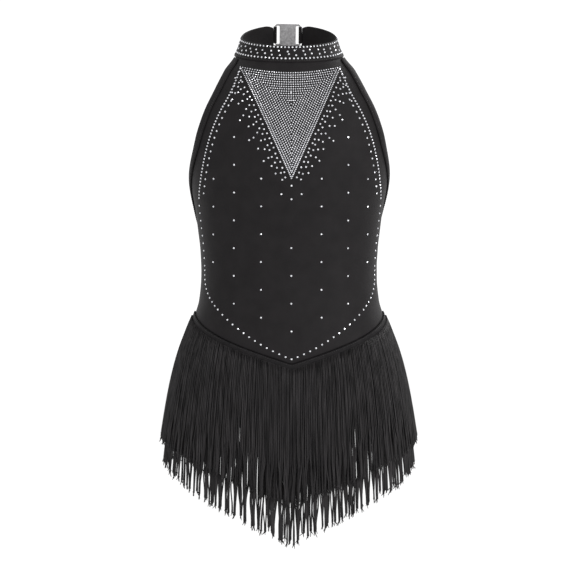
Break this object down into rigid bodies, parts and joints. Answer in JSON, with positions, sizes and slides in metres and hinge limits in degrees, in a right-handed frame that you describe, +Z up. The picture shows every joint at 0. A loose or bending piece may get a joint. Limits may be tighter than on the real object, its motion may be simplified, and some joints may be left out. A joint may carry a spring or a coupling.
{
  "type": "latin dance dress",
  "caption": "Girl's sleeveless halter dance dress with a stand collar, a neck clasp, a low back and a pointed two-tier fringe skirt.",
  "frame": {"origin": "middle of the neck, level with the sides of the collar's lower edge", "axes": "+X towards the wearer's left, -Y out of the front, +Z up"},
  "size_m": [0.31, 0.2068, 0.6283],
  "materials": {
    "stretch_cloth": "black stretch knit with a soft satin sheen",
    "fringe": "black chainette cord",
    "fringe_tape": "black woven tape",
    "clasp_metal": "brushed grey metal",
    "stones": "foil-backed faceted stones"
  },
  "bodies": {
    "root": {"collar": "stretch_cloth", "front_panel": "stretch_cloth", "back_panel": "stretch_cloth", "binding_left": "stretch_cloth", "binding_right": "stretch_cloth", "collar_loop_left": "stretch_cloth", "collar_loop_right": "stretch_cloth", "clasp_left": "clasp_metal", "clasp_right": "clasp_metal", "yoke_front": "stretch_cloth", "yoke_back": "stretch_cloth", "tape_upper_front": "fringe_tape", "tape_upper_back": "fringe_tape", "tape_lower_front": "fringe_tape", "tape_lower_back": "fringe_tape", "fringe_upper_front": "fringe", "fringe_upper_back": "fringe", "fringe_lower_front": "fringe", "fringe_lower_back": "fringe"}
  },
  "joints": []
}
